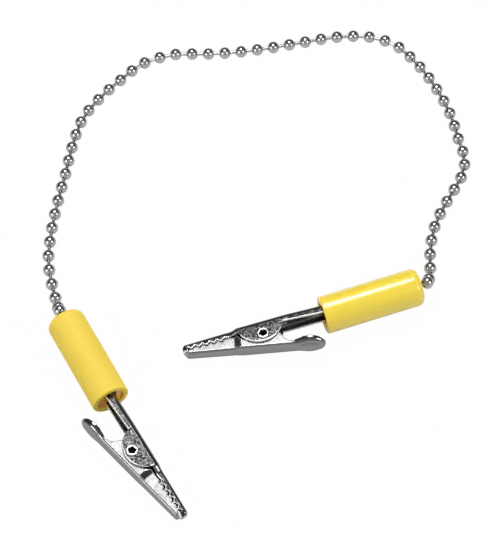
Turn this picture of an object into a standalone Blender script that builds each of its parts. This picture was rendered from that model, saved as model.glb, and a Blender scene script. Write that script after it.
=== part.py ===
"""Ball chain lead with an alligator clip at each end.

A length of nickel-plated ball chain joins two spring clips.  Each clip is pressed
from sheet steel: an upper jaw with a tail, a lower jaw with a thumb pad, a hollow
rivet through both, a torsion spring around the rivet, and a plastic sleeve pushed
over the tail.  The last ball of the chain turns in a cup at the end of the tail.

Units are metres, written as millimetres times MM.  +Z is up and the lead lies on
z = 0.

Clip frame: origin at the rivet's middle, +X towards the jaw tip, +Y towards the
lower jaw, Z along the rivet.  Sleeve frame: origin at the middle of the sleeve's
open end, +X along the sleeve towards the jaws, and the clip's Z.
"""

import math

import bmesh
import bpy
import numpy as np
from mathutils import Matrix

MM = 0.001

# ---------------------------------------------------------------- driving sizes, mm
SHEET = 0.55                # jaw sheet steel
BEND_RADIUS = 0.8           # outer radius of the bends along the upper jaw's back
WEB_BEND_RADIUS = 0.6       # and along the lower jaw's web
NECK_STEPS = 4              # points along each change of width

# upper jaw, in the clip frame
JAW_TIP_X = 19.9            # rivet to jaw tip
BACK_Y = -4.1               # outer face of the upper jaw's back
JAW_TIP_HALF = 1.40         # half width at the tip
JAW_HALF = 1.65             # half width where the jaws meet the ears
EAR_HALF = 2.80             # half width over the upper jaw's ears
TAIL_HALF = 2.35            # half width of the tail
TIP_CORNER = 0.85           # radius of both jaws' tip corners
NOSE_EDGE_Y = -2.05         # lower edge of the wall at the tip
EAR_RADIUS = 5.9            # round lower edge of the ears
EAR_CENTRE_X = 0.15
EAR_DROP = 2.05             # how far the ears reach past the rivet's axis
NECK_X = 8.0                # where the jaw starts to widen into the ears
NECK_LENGTH = 2.4
NECK_EDGE_Y = -2.35         # lower edge of the wall just ahead of the ears
TAIL_NECK_X = -5.4          # where the ears start to narrow into the tail
TAIL_NECK_LENGTH = 9.4      # the tail narrows slowly, so its back edge looks straight
TAIL_EDGE_FRONT_Y = -1.90   # lower edge of the tail's walls behind the ears
TAIL_EDGE_REAR_Y = -1.40    # and at the sleeve

# teeth, on both jaws
TOOTH_PITCH = 1.87
TOOTH_COUNT = 5
TOOTH_DEPTH = 0.62
TOOTH_STEPS = 4             # points along one tooth
FIRST_TOOTH_X = 17.7
FIRST_TOOTH_Y = -2.40       # tip of the first tooth
TOOTH_LINE_SLOPE = -0.055   # slope of the row of teeth
TOOTH_GAP = 0.40            # between the two rows with the clip closed

# lower jaw, in its own frame: +X along its web, turned about the rivet
LEVER_SET_DEG = 13.0        # angle between the two jaws' backs with the clip closed
WEB_Y = 3.25                # outer face of the lower jaw's web
LEVER_TIP_X = 19.2
LEVER_TIP_HALF = 1.40
LEVER_FRONT_HALF = 1.60
LEVER_REAR_HALF = 1.95
LEVER_NECK_X = 7.6          # the lower jaw widens behind this
LEVER_NECK_LENGTH = 1.9
LEVER_EAR_RADIUS = 2.75     # round top of the lower jaw's ears, about the rivet
NOSE_LENGTH = 0.9           # the web's lip ahead of the walls
PAD_START_X = -6.4
PAD_WIDEST_X = -11.4
PAD_END_X = -15.1
PAD_HALF = 2.95
PAD_STEPS = 7               # points along each half of the pad

# rivet
RIVET_SHANK_RADIUS = 1.15
RIVET_BORE_RADIUS = 0.85
RIVET_HEAD_RADIUS = 1.50
RIVET_HEAD_HEIGHT = 0.32
RIVET_HEAD_ROUND = 0.15
RIVET_FIT = 0.09            # radial play of the rivet in the jaws' holes
RIVET_HEAD_GAP = 0.12       # end play under each head
RIVET_STEPS = 24

# torsion spring
SPRING_WIRE = 0.50
SPRING_TURNS = 2.5
SPRING_PITCH = 0.62
SPRING_PLAY = 0.35          # rivet's shank to the inside of the coil
SPRING_STEPS = 16           # points in one turn
SPRING_END_X = -6.6         # end of both legs
SPRING_UPPER_END_Y = -2.55  # in the clip frame, by the upper jaw's back
SPRING_LOWER_END_Y = 2.12   # in the lower jaw's frame, by its web

# sleeve, a moulded tube with one nearly closed end
SLEEVE_LENGTH = 25.5
SLEEVE_RADIUS = 4.75
SLEEVE_BORE_RADIUS = 3.35
SLEEVE_BORE_CHAMFER = 0.25
SLEEVE_END_WALL = 1.3
SLEEVE_HOLE_RADIUS = 2.2    # the chain comes out through this hole
SLEEVE_MOUTH_ROUND = 0.55
SLEEVE_END_ROUND = 1.7
SLEEVE_STEPS = 36
ROUND_STEPS = 4             # points along a small rounding

# tail inside the sleeve, and the cup that holds the chain's last ball
TAIL_IN_SLEEVE = 2.0        # how far the tail's full width goes in
BARREL_HALF = 2.2           # half width of the narrow channel behind it
BARREL_BACK = 1.7           # sleeve axis to the channel's back
BARREL_RISE = 0.9           # sleeve axis to the channel's edges
BARREL_START = 0.4          # sleeve's open end to the front of the channel
BARREL_END = 11.7           # and to its rear, inside the cup's wall
CUP_CENTRE = 13.2           # sleeve's open end to the middle of the cup
CUP_RADIUS = 2.3
CUP_PLAY = 0.16             # ball to cup
CUP_LIP_RADIUS = 1.0
CUP_LIP = 0.5
CUP_STEPS = 24

# ball chain
BALL_RADIUS = 1.5875        # a 3.2 mm ball
BALL_ARC_STEPS = 9
LINK_RADIUS = 0.45          # short neck on the last ball
LINK_LENGTH = 2.0           # last ball's middle to the end of its neck
CHAIN_START = 2.3           # last ball's middle to the start of the chain's tube
CHAIN_LIES = 1.63           # height of the chain's middle on the table
CHAIN_POINTS = 78

# where each clip lies: its rivet's place, the way its jaws point, which side faces up,
# and where its sleeve's axis passes in the clip frame
CLIPS = {
    "a": {"rivet": (-24.91, -17.57), "heading_deg": -59.7, "side_up": -1, "axis_y": -2.75},
    "b": {"rivet": (6.47, 15.80), "heading_deg": 195.9, "side_up": 1, "axis_y": -2.00},
}
CLIP_PITCH_DEG = 4.7        # the clip leans down on its rivet head and sleeve edge
SLEEVE_YAW_DEG = 1.4        # between the upper jaw's back and the sleeve's axis
SLEEVE_SEAT = 15.7          # rivet to the sleeve's open end

# the chain's way over the table, sleeve a to sleeve b, chosen by hand: x, y, height
CHAIN_ROUTE = [
    (-43.48, 21.03, 6.80),
    (-44.03, 22.93, 5.90),
    (-44.38, 24.33, 4.30),
    (-44.88, 26.23, 2.60),
    (-45.68, 29.43, 1.75),
    (-46.8, 33.8, CHAIN_LIES),
    (-48.0, 40.4, CHAIN_LIES),
    (-47.9, 48.6, CHAIN_LIES),
    (-46.6, 60.1, CHAIN_LIES),
    (-45.1, 69.1, CHAIN_LIES),
    (-43.6, 79.2, CHAIN_LIES),
    (-41.3, 88.0, CHAIN_LIES),
    (-37.4, 94.6, CHAIN_LIES),
    (-32.0, 101.1, CHAIN_LIES),
    (-25.7, 107.3, CHAIN_LIES),
    (-17.6, 110.4, CHAIN_LIES),
    (-8.9, 110.6, CHAIN_LIES),
    (0.3, 111.4, CHAIN_LIES),
    (9.3, 113.0, CHAIN_LIES),
    (18.2, 115.0, CHAIN_LIES),
    (27.1, 116.8, CHAIN_LIES),
    (36.1, 116.7, CHAIN_LIES),
    (42.3, 114.1, CHAIN_LIES),
    (47.9, 107.6, CHAIN_LIES),
    (53.1, 98.2, CHAIN_LIES),
    (56.4, 89.0, CHAIN_LIES),
    (58.2, 79.7, CHAIN_LIES),
    (59.3, 73.6, CHAIN_LIES),
    (58.1, 68.2, CHAIN_LIES),
    (54.1, 60.4, CHAIN_LIES),
    (50.5, 52.4, CHAIN_LIES),
    (48.8, 43.8, CHAIN_LIES),
    (48.57, 39.03, 1.75),
    (48.32, 36.33, 2.20),
    (47.82, 33.83, 3.20),
    (47.42, 32.23, 4.90),
    (46.97, 30.73, 6.30),
    (46.12, 29.88, 6.83),
]


# ---------------------------------------------------------------- scene and materials
for old in list(bpy.data.objects):
    bpy.data.objects.remove(old, do_unlink=True)

parts = bpy.data.collections.new("ball_chain_clip_lead")
cutters = bpy.data.collections.new("cutters")
bpy.context.scene.collection.children.link(parts)
bpy.context.scene.collection.children.link(cutters)


def add_material(obj, colour, roughness, metallic):
    """Give an object its own material."""
    material = bpy.data.materials.new(obj.name + "_material")
    material.use_nodes = True
    shader = material.node_tree.nodes["Principled BSDF"]
    shader.inputs["Base Color"].default_value = (*colour, 1.0)
    shader.inputs["Roughness"].default_value = roughness
    shader.inputs["Metallic"].default_value = metallic
    obj.data.materials.clear()
    obj.data.materials.append(material)


def add_empty(name, matrix, parent=None):
    """Empty that carries the pieces of one moving body."""
    empty = bpy.data.objects.new(name, None)
    empty.empty_display_size = 5 * MM
    parts.objects.link(empty)
    empty.parent = parent
    empty.matrix_local = matrix
    return empty


def as_cutter(obj):
    """Keep a solid as a guide for the Booleans only."""
    obj.hide_render = True
    obj.display_type = "WIRE"
    return obj


def shade(obj, angle_deg=35):
    obj.data.shade_smooth()
    obj.data.set_sharp_from_angle(angle=math.radians(angle_deg))


# ---------------------------------------------------------------- shape helpers
def curve_to_mesh(obj):
    """Replace a curve object by a mesh object with welded caps."""
    bpy.context.view_layer.update()
    evaluated = obj.evaluated_get(bpy.context.evaluated_depsgraph_get())
    mesh = bpy.data.meshes.new_from_object(evaluated)
    solid = bmesh.new()
    solid.from_mesh(mesh)
    bmesh.ops.remove_doubles(solid, verts=solid.verts, dist=0.002 * MM)
    bmesh.ops.dissolve_limit(solid, angle_limit=math.radians(0.5), verts=solid.verts,
                             edges=solid.edges, delimit={"NORMAL"})
    bmesh.ops.recalc_face_normals(solid, faces=solid.faces)
    solid.to_mesh(mesh)
    solid.free()
    name = obj.name
    matrix = obj.matrix_world.copy()
    collection = obj.users_collection[0]
    bpy.data.objects.remove(obj, do_unlink=True)
    result = bpy.data.objects.new(name, mesh)
    collection.objects.link(result)
    mesh.transform(matrix)
    return result


def plate(name, outline, low, high, collection, upright=False):
    """Solid of a flat outline between two depths along Z, or along Y when upright."""
    curve = bpy.data.curves.new(name, "CURVE")
    curve.dimensions = "2D"
    curve.fill_mode = "BOTH"
    curve.extrude = (high - low) / 2 * MM
    spline = curve.splines.new("POLY")
    spline.points.add(len(outline) - 1)
    for point, (x, y) in zip(spline.points, outline):
        point.co = (x * MM, y * MM, 0, 1)
    spline.use_cyclic_u = True
    obj = bpy.data.objects.new(name, curve)
    collection.objects.link(obj)
    middle = (low + high) / 2 * MM
    if upright:
        obj.matrix_world = Matrix.Translation((0, middle, 0)) @ Matrix.Rotation(math.pi / 2, 4, "X")
    else:
        obj.matrix_world = Matrix.Translation((0, 0, middle))
    return curve_to_mesh(obj)


def turned(name, profile, steps, collection, closed):
    """Solid turned about Z from a profile of (radius, z) that runs down its outer side."""
    mesh = bpy.data.meshes.new(name)
    verts = [(radius * MM, 0, z * MM) for radius, z in profile]
    edges = [(i, i + 1) for i in range(len(profile) - 1)]
    if closed:
        edges.append((len(profile) - 1, 0))
    mesh.from_pydata(verts, edges, [])
    obj = bpy.data.objects.new(name, mesh)
    collection.objects.link(obj)
    screw = obj.modifiers.new("turn", "SCREW")
    screw.axis = "Z"
    screw.steps = steps
    screw.render_steps = steps
    screw.use_merge_vertices = True
    screw.merge_threshold = 0.000001
    return obj


def boolean(obj, tool, operation):
    modifier = obj.modifiers.new(tool.name, "BOOLEAN")
    modifier.operation = operation
    modifier.solver = "EXACT"
    modifier.object = tool


def arc(centre_u, centre_v, radius, start_deg, end_deg, steps=ROUND_STEPS):
    """Points of an arc about (centre_u, centre_v)."""
    points = []
    for step in range(steps + 1):
        angle = math.radians(start_deg + (end_deg - start_deg) * step / steps)
        points.append((centre_u + radius * math.cos(angle), centre_v + radius * math.sin(angle)))
    return points


def ramp(x, start, length, before, after):
    """Smooth step of a half width, going down in x from its start."""
    t = min(max((start - x) / length, 0), 1)
    return before + (after - before) * t * t * (3 - 2 * t)


def inset(outline, distance):
    """Closed outline moved inwards by a distance."""
    count = len(outline)
    area = 0
    for i in range(count):
        here = outline[i]
        after = outline[(i + 1) % count]
        area += here[0] * after[1] - after[0] * here[1]
    side = 1 if area > 0 else -1
    moved = []
    for i in range(count):
        before = outline[i - 1]
        after = outline[(i + 1) % count]
        here = outline[i]
        first = np.array([here[0] - before[0], here[1] - before[1]])
        second = np.array([after[0] - here[0], after[1] - here[1]])
        first /= np.linalg.norm(first)
        second /= np.linalg.norm(second)
        normal = np.array([-(first[1] + second[1]), first[0] + second[0]]) * side
        normal /= np.linalg.norm(normal)
        stretch = max(normal @ np.array([-first[1], first[0]]) * side, 0.5)
        moved.append((here[0] + normal[0] * distance / stretch, here[1] + normal[1] * distance / stretch))
    return moved


def mirrored(upper_side):
    """Closed outline from its points at positive half width, front to rear."""
    lower_side = [(x, -half) for x, half in reversed(upper_side) if half > 0.001]
    return upper_side + lower_side


def smooth_route(points, count):
    """Evenly spaced points on a smooth curve through the given points."""
    knots = np.array(points, dtype=float)
    chord = np.linalg.norm(np.diff(knots, axis=0), axis=1)
    at = np.concatenate([[0], np.cumsum(chord)])
    slope = np.gradient(knots, at, axis=0)
    dense = []
    for i in range(len(knots) - 1):
        for t in np.linspace(0, 1, 24, endpoint=False):
            dense.append((2 * t**3 - 3 * t**2 + 1) * knots[i]
                         + (t**3 - 2 * t**2 + t) * chord[i] * slope[i]
                         + (3 * t**2 - 2 * t**3) * knots[i + 1]
                         + (t**3 - t**2) * chord[i] * slope[i + 1])
    dense.append(knots[-1])
    dense = np.array(dense)
    along = np.concatenate([[0], np.cumsum(np.linalg.norm(np.diff(dense, axis=0), axis=1))])
    wanted = np.linspace(0, along[-1], count)
    return np.stack([np.interp(wanted, along, dense[:, k]) for k in range(3)], axis=1)


def wire(name, points, radius, bevel_resolution):
    """Round wire or tube along points given in mm."""
    curve = bpy.data.curves.new(name, "CURVE")
    curve.dimensions = "3D"
    curve.bevel_depth = radius * MM
    curve.bevel_resolution = bevel_resolution
    curve.use_fill_caps = True
    spline = curve.splines.new("POLY")
    spline.points.add(len(points) - 1)
    for point, place in zip(spline.points, points):
        point.co = (place[0] * MM, place[1] * MM, place[2] * MM, 1)
    obj = bpy.data.objects.new(name, curve)
    parts.objects.link(obj)
    return obj


# ---------------------------------------------------------------- outlines
def tooth_edge(x):
    """Lower edge of the upper jaw's wall along the teeth, in the clip frame."""
    wave = 1 - math.cos(2 * math.pi * (x - FIRST_TOOTH_X) / TOOTH_PITCH)
    return FIRST_TOOTH_Y + TOOTH_LINE_SLOPE * (x - FIRST_TOOTH_X) - TOOTH_DEPTH / 2 * wave


def tooth_points(front_x, rear_x):
    """Points of the toothed edge, tip to rear."""
    step = TOOTH_PITCH / TOOTH_STEPS
    count = int(round((front_x - rear_x) / step))
    return [(front_x - (front_x - rear_x) * i / count, tooth_edge(front_x - (front_x - rear_x) * i / count))
            for i in range(count + 1)]


FIRST_ROOT_X = FIRST_TOOTH_X + TOOTH_PITCH / 2
LAST_ROOT_X = FIRST_TOOTH_X - (TOOTH_COUNT - 0.5) * TOOTH_PITCH
TAIL_END_X = -(SLEEVE_SEAT + TAIL_IN_SLEEVE)


def tip_points(tip_x, half, is_open):
    """Front of a jaw's plan: round corners, or straight on past the tip."""
    if is_open:
        return [(tip_x + 2, 0), (tip_x + 2, half)]
    return [(tip_x, 0)] + arc(tip_x - TIP_CORNER, half - TIP_CORNER, TIP_CORNER, 0, 90)


def upper_plan(is_open):
    """Upper jaw seen along Y, front to rear at positive half width."""
    side = tip_points(JAW_TIP_X, JAW_TIP_HALF, is_open)
    side += [(NECK_X, JAW_HALF)]
    for i in range(1, NECK_STEPS + 1):
        x = NECK_X - NECK_LENGTH * i / NECK_STEPS
        side.append((x, ramp(x, NECK_X, NECK_LENGTH, JAW_HALF, EAR_HALF)))
    for i in range(NECK_STEPS + 1):
        x = TAIL_NECK_X - TAIL_NECK_LENGTH * i / NECK_STEPS
        side.append((x, ramp(x, TAIL_NECK_X, TAIL_NECK_LENGTH, EAR_HALF, TAIL_HALF)))
    side += [(TAIL_END_X - 2 * SHEET, TAIL_HALF), (TAIL_END_X - 2 * SHEET, 0)]
    return side


def upper_profile():
    """Upper jaw seen along the rivet: everything above its lower edge."""
    centre_y = EAR_DROP - EAR_RADIUS
    front_deg = math.degrees(math.asin((NECK_EDGE_Y - centre_y) / EAR_RADIUS))
    rear_deg = 180 - math.degrees(math.asin((TAIL_EDGE_FRONT_Y - centre_y) / EAR_RADIUS))
    points = [(JAW_TIP_X + 1, BACK_Y - 1), (JAW_TIP_X + 1, NOSE_EDGE_Y), (FIRST_ROOT_X + 0.6, NOSE_EDGE_Y)]
    points += tooth_points(FIRST_ROOT_X, LAST_ROOT_X)
    points += [(NECK_X, NECK_EDGE_Y)]
    points += arc(EAR_CENTRE_X, centre_y, EAR_RADIUS, front_deg, rear_deg, 24)
    points += [(TAIL_END_X, TAIL_EDGE_REAR_Y), (TAIL_END_X, BACK_Y - 1)]
    return points


def to_lever(x, y):
    """Clip frame to the lower jaw's own frame."""
    angle = math.radians(LEVER_SET_DEG)
    return (x * math.cos(angle) - y * math.sin(angle), x * math.sin(angle) + y * math.cos(angle))


def to_clip(u, v):
    """Lower jaw's own frame to the clip frame."""
    angle = math.radians(LEVER_SET_DEG)
    return (u * math.cos(angle) + v * math.sin(angle), -u * math.sin(angle) + v * math.cos(angle))


def lever_plan(is_open):
    """Lower jaw seen along Y, front to rear at positive half width, with its round pad."""
    side = tip_points(LEVER_TIP_X, LEVER_TIP_HALF, is_open)
    side += [(LEVER_NECK_X, LEVER_FRONT_HALF)]
    for i in range(1, NECK_STEPS + 1):
        x = LEVER_NECK_X - LEVER_NECK_LENGTH * i / NECK_STEPS
        side.append((x, ramp(x, LEVER_NECK_X, LEVER_NECK_LENGTH, LEVER_FRONT_HALF, LEVER_REAR_HALF)))
    pad_length = PAD_START_X - PAD_WIDEST_X
    for i in range(PAD_STEPS + 1):
        x = PAD_START_X - pad_length * i / PAD_STEPS
        side.append((x, ramp(x, PAD_START_X, pad_length, LEVER_REAR_HALF, PAD_HALF)))
    for i in range(1, PAD_STEPS):
        angle = math.pi / 2 * i / PAD_STEPS
        side.append((PAD_WIDEST_X - (PAD_WIDEST_X - PAD_END_X) * math.sin(angle), PAD_HALF * math.cos(angle)))
    return side + [(PAD_END_X, 0)]


def lever_profile():
    """Lower jaw seen along the rivet: everything below its walls' upper edge."""
    nose_x = LEVER_TIP_X - NOSE_LENGTH
    points = [(LEVER_TIP_X + 1, WEB_Y + 1), (LEVER_TIP_X + 1, WEB_Y - SHEET - 0.02), (nose_x, WEB_Y - SHEET - 0.02)]
    teeth = tooth_points(FIRST_ROOT_X - 0.45, LAST_ROOT_X)
    points += [to_lever(x, y + TOOTH_GAP) for x, y in teeth]
    points += [to_lever(x, y) for x, y in ((7.5, -1.95), (6.2, -1.90), (5.75, -1.45), (5.1, -0.30))]
    ear = arc(0, 0, LEVER_EAR_RADIUS, -30, -155, 14)
    points += [to_lever(x, y) for x, y in ear]
    points += [(-3.4, -1.2), (-4.55, 0.2), (-4.9, 1.0), (-5.8, 1.85), (-7.1, 2.15), (-8.4, 1.95), (-9.8, 1.65),
               (-11.2, 1.55), (-12.6, 1.7), (-13.7, 2.1), (-14.5, 2.5), (PAD_END_X - 1, 2.75),
               (PAD_END_X - 1, WEB_Y + 1)]
    return points


# ---------------------------------------------------------------- clip pieces
def bend_edges(body, radius, segments):
    """Round the edges where the walls leave the back."""
    bevel = body.modifiers.new("bend", "BEVEL")
    bevel.width = radius * MM
    bevel.segments = segments
    bevel.limit_method = "ANGLE"
    bevel.angle_limit = math.radians(60)
    bevel.use_clamp_overlap = False


def pressing(name, plan, back, towards, bend, profile):
    """Bent sheet channel: a solid with a round back, trimmed along its edges and hollowed.

    Its back's outer face is at y = back and its walls run along y, towards +1 or -1."""
    far = back + 9 * towards
    body = plate(name, mirrored(plan(False)), min(back, far), max(back, far), parts, upright=True)
    bend_edges(body, bend, 3)
    start = back + SHEET * towards
    far += towards
    hollow = plate(name + "_hollow", inset(mirrored(plan(True)), SHEET), min(start, far), max(start, far),
                   cutters, upright=True)
    if bend - SHEET > 0.1:
        bend_edges(hollow, bend - SHEET, 1)
    trim = plate(name + "_profile", profile, -EAR_HALF - 2, EAR_HALF + 2, cutters)
    boolean(body, trim, "INTERSECT")
    boolean(body, hollow, "DIFFERENCE")
    return body, [hollow, trim]


def rivet_hole(name):
    """Cutter for the rivet's holes."""
    radius = RIVET_SHANK_RADIUS + RIVET_FIT
    half = EAR_HALF + 1
    return turned(name, [(0, half), (radius, half), (radius, -half), (0, -half)], RIVET_STEPS, cutters, False)


def barrel(name):
    """Narrow channel of the tail inside the sleeve, in the sleeve's frame."""
    section = [(-BARREL_BACK, -BARREL_HALF), (-BARREL_BACK, BARREL_HALF), (BARREL_RISE, BARREL_HALF),
               (BARREL_RISE, BARREL_HALF - SHEET), (SHEET - BARREL_BACK, BARREL_HALF - SHEET),
               (SHEET - BARREL_BACK, SHEET - BARREL_HALF), (BARREL_RISE, SHEET - BARREL_HALF),
               (BARREL_RISE, -BARREL_HALF)]
    solid = plate(name, section, BARREL_START, BARREL_END, cutters)
    solid.data.transform(Matrix(((0, 0, -1, 0), (1, 0, 0, 0), (0, -1, 0, 0), (0, 0, 0, 1))))
    return solid


def cup(name):
    """Ring at the end of the tail with a round seat for the last ball, turned about Z."""
    seat = BALL_RADIUS + CUP_PLAY
    lip_deg = math.degrees(math.acos(CUP_LIP_RADIUS / seat))
    half = seat * math.sin(math.radians(lip_deg)) + CUP_LIP
    profile = [(CUP_LIP_RADIUS, half), (CUP_RADIUS, half), (CUP_RADIUS, -half), (CUP_LIP_RADIUS, -half)]
    profile += arc(0, 0, seat, -lip_deg, lip_deg, 8)
    return turned(name, profile, CUP_STEPS, cutters, True)


def rivet_profile():
    """Hollow rivet with a flat head on each side, as (radius, z)."""
    under = EAR_HALF + RIVET_HEAD_GAP
    top = under + RIVET_HEAD_HEIGHT
    edge = RIVET_HEAD_RADIUS - RIVET_HEAD_ROUND
    upper = [(RIVET_BORE_RADIUS, top)]
    upper += arc(edge, top - RIVET_HEAD_ROUND, RIVET_HEAD_ROUND, 90, 0, 3)
    upper += [(RIVET_HEAD_RADIUS, under), (RIVET_SHANK_RADIUS, under)]
    return upper + [(radius, -z) for radius, z in reversed(upper)]


def sleeve_profile():
    """Sleeve turned about Z, open end at z = 0, closed end below."""
    mouth = SLEEVE_RADIUS - SLEEVE_MOUTH_ROUND
    end = SLEEVE_RADIUS - SLEEVE_END_ROUND
    inside = SLEEVE_END_WALL - SLEEVE_LENGTH
    profile = [(SLEEVE_BORE_RADIUS + SLEEVE_BORE_CHAMFER, 0)]
    profile += arc(mouth, -SLEEVE_MOUTH_ROUND, SLEEVE_MOUTH_ROUND, 90, 0)
    profile += arc(end, SLEEVE_END_ROUND - SLEEVE_LENGTH, SLEEVE_END_ROUND, 0, -90)
    profile += [(SLEEVE_HOLE_RADIUS, -SLEEVE_LENGTH), (SLEEVE_HOLE_RADIUS, inside), (SLEEVE_BORE_RADIUS, inside),
                (SLEEVE_BORE_RADIUS, -SLEEVE_BORE_CHAMFER)]
    return profile


def ball_profile():
    """Last ball of the chain and its short neck, turned about Z with the neck below."""
    neck_deg = -math.degrees(math.acos(LINK_RADIUS / BALL_RADIUS))
    profile = [(0, BALL_RADIUS)]
    profile += arc(0, 0, BALL_RADIUS, 90, neck_deg, BALL_ARC_STEPS)[1:]
    return profile + [(LINK_RADIUS, -LINK_LENGTH), (0, -LINK_LENGTH)]


def spring_points():
    """Torsion spring in the clip frame: a leg, the coil, the other leg."""
    radius = RIVET_SHANK_RADIUS + SPRING_PLAY + SPRING_WIRE / 2
    half = SPRING_TURNS * SPRING_PITCH / 2
    points = [(SPRING_END_X, SPRING_UPPER_END_Y, half)]
    steps = int(SPRING_TURNS * SPRING_STEPS)
    for i in range(steps + 1):
        angle = math.radians(-90 + 360 * SPRING_TURNS * i / steps)
        points.append((radius * math.cos(angle), radius * math.sin(angle), half - 2 * half * i / steps))
    points.append((*to_clip(SPRING_END_X, SPRING_LOWER_END_Y), -half))
    return points


# ---------------------------------------------------------------- build both clips
ALONG_X = Matrix.Rotation(math.pi / 2, 4, "Y")      # turns a piece's Z axis to +X

ends = {}
for key, place in CLIPS.items():
    up = place["side_up"]
    pitch = math.radians(CLIP_PITCH_DEG)
    mouth_edge = SLEEVE_RADIUS - SLEEVE_MOUTH_ROUND
    mouth_height = mouth_edge * math.cos(pitch) + SLEEVE_MOUTH_ROUND * (1 - math.sin(pitch))
    rivet_height = mouth_height - SLEEVE_SEAT * math.sin(pitch)
    clip_frame = (Matrix.Translation((place["rivet"][0] * MM, place["rivet"][1] * MM, rivet_height * MM))
                  @ Matrix.Rotation(math.radians(place["heading_deg"]), 4, "Z")
                  @ Matrix.Rotation(0 if up > 0 else math.pi, 4, "X")
                  @ Matrix.Rotation(up * pitch, 4, "Y"))
    sleeve_in_clip = (Matrix.Translation((-SLEEVE_SEAT * MM, place["axis_y"] * MM, 0))
                      @ Matrix.Rotation(math.radians(SLEEVE_YAW_DEG), 4, "Z"))
    sleeve_frame = clip_frame @ sleeve_in_clip
    ends[key] = sleeve_frame

    swivel = add_empty("swivel_axis_" + key, sleeve_frame)
    pivot = add_empty("rivet_axis_" + key, sleeve_in_clip.inverted(), swivel)

    # upper jaw with its tail, channel and cup in one piece
    upper, tools = pressing("upper_jaw_" + key, upper_plan, BACK_Y, 1, BEND_RADIUS, upper_profile())
    hole = rivet_hole("upper_hole_" + key)
    tail = barrel("barrel_" + key)
    tail.data.transform(sleeve_in_clip)
    ball_cup = cup("cup_" + key)
    cup_place = sleeve_in_clip @ Matrix.Translation((-CUP_CENTRE * MM, 0, 0)) @ ALONG_X
    boolean(upper, hole, "DIFFERENCE")
    boolean(upper, tail, "UNION")
    boolean(upper, ball_cup, "UNION")
    for tool in tools + [hole, tail, ball_cup, upper]:
        tool.parent = pivot
    ball_cup.matrix_local = cup_place
    add_material(upper, (0.30, 0.30, 0.30), 0.32, 1.0)
    for tool in tools + [hole, tail, ball_cup]:
        as_cutter(tool)

    # lower jaw with its thumb pad, turned about the rivet
    lower, tools = pressing("lower_jaw_" + key, lever_plan, WEB_Y, -1, WEB_BEND_RADIUS, lever_profile())
    hole = rivet_hole("lower_hole_" + key)
    boolean(lower, hole, "DIFFERENCE")
    for tool in tools + [hole, lower]:
        tool.parent = pivot
        tool.matrix_local = Matrix.Rotation(math.radians(-LEVER_SET_DEG), 4, "Z")
    add_material(lower, (0.52, 0.52, 0.52), 0.30, 1.0)
    for tool in tools + [hole]:
        as_cutter(tool)

    rivet = turned("pivot_rivet_" + key, rivet_profile(), RIVET_STEPS, parts, True)
    rivet.parent = pivot
    add_material(rivet, (0.80, 0.80, 0.80), 0.20, 1.0)

    spring = wire("torsion_spring_" + key, spring_points(), SPRING_WIRE / 2, 2)
    spring.parent = pivot
    add_material(spring, (0.72, 0.72, 0.72), 0.28, 1.0)

    sleeve = turned("sleeve_" + key, sleeve_profile(), SLEEVE_STEPS, parts, True)
    sleeve.parent = swivel
    sleeve.matrix_local = ALONG_X
    add_material(sleeve, (0.86, 0.66, 0.08), 0.35, 0.0)

    ball = turned("chain_end_ball_" + key, ball_profile(), CUP_STEPS, parts, False)
    ball.matrix_world = sleeve_frame @ Matrix.Translation((-CUP_CENTRE * MM, 0, 0)) @ ALONG_X
    add_material(ball, (0.70, 0.70, 0.70), 0.18, 1.0)

# ---------------------------------------------------------------- chain
def on_axis(key, behind):
    """Point on a sleeve's axis at a distance behind its open end, in mm."""
    point = ends[key] @ Matrix.Translation((-behind * MM, 0, 0))
    return tuple(point.translation / MM)


inside = [CUP_CENTRE + CHAIN_START, 18.5, 22.0, SLEEVE_LENGTH]
route = [on_axis("a", behind) for behind in inside]
route += CHAIN_ROUTE
route += [on_axis("b", behind) for behind in reversed(inside)]
chain = wire("ball_chain", smooth_route(route, CHAIN_POINTS), BALL_RADIUS, 2)
add_material(chain, (0.70, 0.70, 0.70), 0.18, 1.0)

for obj in parts.objects:
    if obj.type == "MESH" and "ball" not in obj.name:
        shade(obj)
    elif obj.type == "MESH":
        shade(obj, 60)
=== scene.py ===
import math

import bmesh
import bpy
import numpy as np
from mathutils import Matrix, Vector


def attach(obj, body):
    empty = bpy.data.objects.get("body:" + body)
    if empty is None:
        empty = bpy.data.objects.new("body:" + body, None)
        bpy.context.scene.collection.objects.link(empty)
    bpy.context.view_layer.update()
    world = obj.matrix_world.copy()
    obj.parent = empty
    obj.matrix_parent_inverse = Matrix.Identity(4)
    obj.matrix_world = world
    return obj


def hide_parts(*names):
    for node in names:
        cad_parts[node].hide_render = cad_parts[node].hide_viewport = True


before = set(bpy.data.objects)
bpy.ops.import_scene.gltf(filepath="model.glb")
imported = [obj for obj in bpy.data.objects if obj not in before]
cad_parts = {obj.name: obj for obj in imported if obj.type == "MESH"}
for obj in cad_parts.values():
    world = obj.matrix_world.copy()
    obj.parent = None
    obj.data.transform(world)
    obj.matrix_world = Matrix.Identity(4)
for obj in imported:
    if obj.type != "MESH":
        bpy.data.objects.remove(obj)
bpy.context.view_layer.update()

# ---------------------------------------------------------------- ball chain
# Hollow balls rolled from nickel-plated steel strip, joined by short dumbbell pins whose
# heads are held inside the balls.  It runs from a cup in one sleeve over the table to the
# cup in the other.
MM = 0.001                      # sizes without a unit are in mm
BALL_RADIUS = 1.5875
BALL_PITCH = 4.458              # between balls where the chain is pulled straight
FIRST_BALL_OUT = 15.42          # cup a's middle to the first ball outside its sleeve
BALLS_OUT = 58
BALLS_IN_SLEEVE = 3             # pushed closer together inside each sleeve
PIN_RADIUS = 0.43
PIN_IN_BALL = 0.25              # each pin's head reaches this far into its ball
PIN_IN_CUP = 0.3                # and the two end pins this far past the free chain
PIN_HOLE_RADIUS = 0.55          # hole in the ball round each pin
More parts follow.
